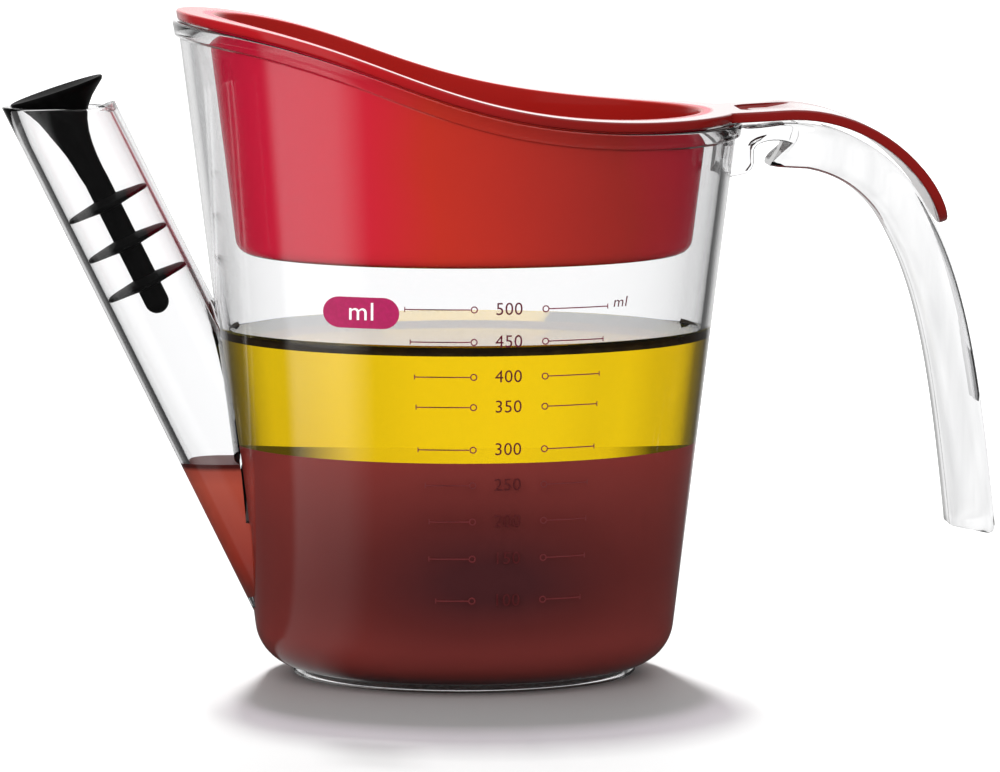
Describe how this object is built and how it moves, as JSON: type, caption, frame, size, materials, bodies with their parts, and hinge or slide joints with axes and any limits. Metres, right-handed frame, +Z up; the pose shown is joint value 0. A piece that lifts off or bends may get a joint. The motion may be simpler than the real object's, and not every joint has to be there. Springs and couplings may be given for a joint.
{
  "type": "gravy fat separator",
  "caption": "Clear jug with a low-set slanted spout and an open-ended handle, a lift-off strainer lid with a tail over the handle, and a rubber spout stopper.",
  "frame": {"origin": "on the jug's axis, on the plane that the foot ring stands on", "axes": "+Z up along the jug's axis, +X towards the handle, -X towards the spout"},
  "size_m": [0.2043, 0.1154, 0.1367],
  "materials": {
    "clear_plastic": "clear moulded plastic, polished",
    "red_plastic": "red moulded plastic, polished",
    "black_rubber": "black rubber, satin"
  },
  "bodies": {
    "jug": {"jug_body": "clear_plastic", "spout_tube": "clear_plastic", "handle": "clear_plastic"},
    "lid": {"strainer_lid": "red_plastic"},
    "stopper": {"stopper": "black_rubber"}
  },
  "joints": [
    {"name": "lid_lift", "type": "slide", "parent": "jug", "child": "lid", "axis": [0, 0, 1], "range_m": [0, 0.06]},
    {"name": "stopper_pull", "type": "slide", "parent": "jug", "child": "stopper", "axis": [-0.4415, 0, 0.8973], "range_m": [0, 0.06]}
  ]
}
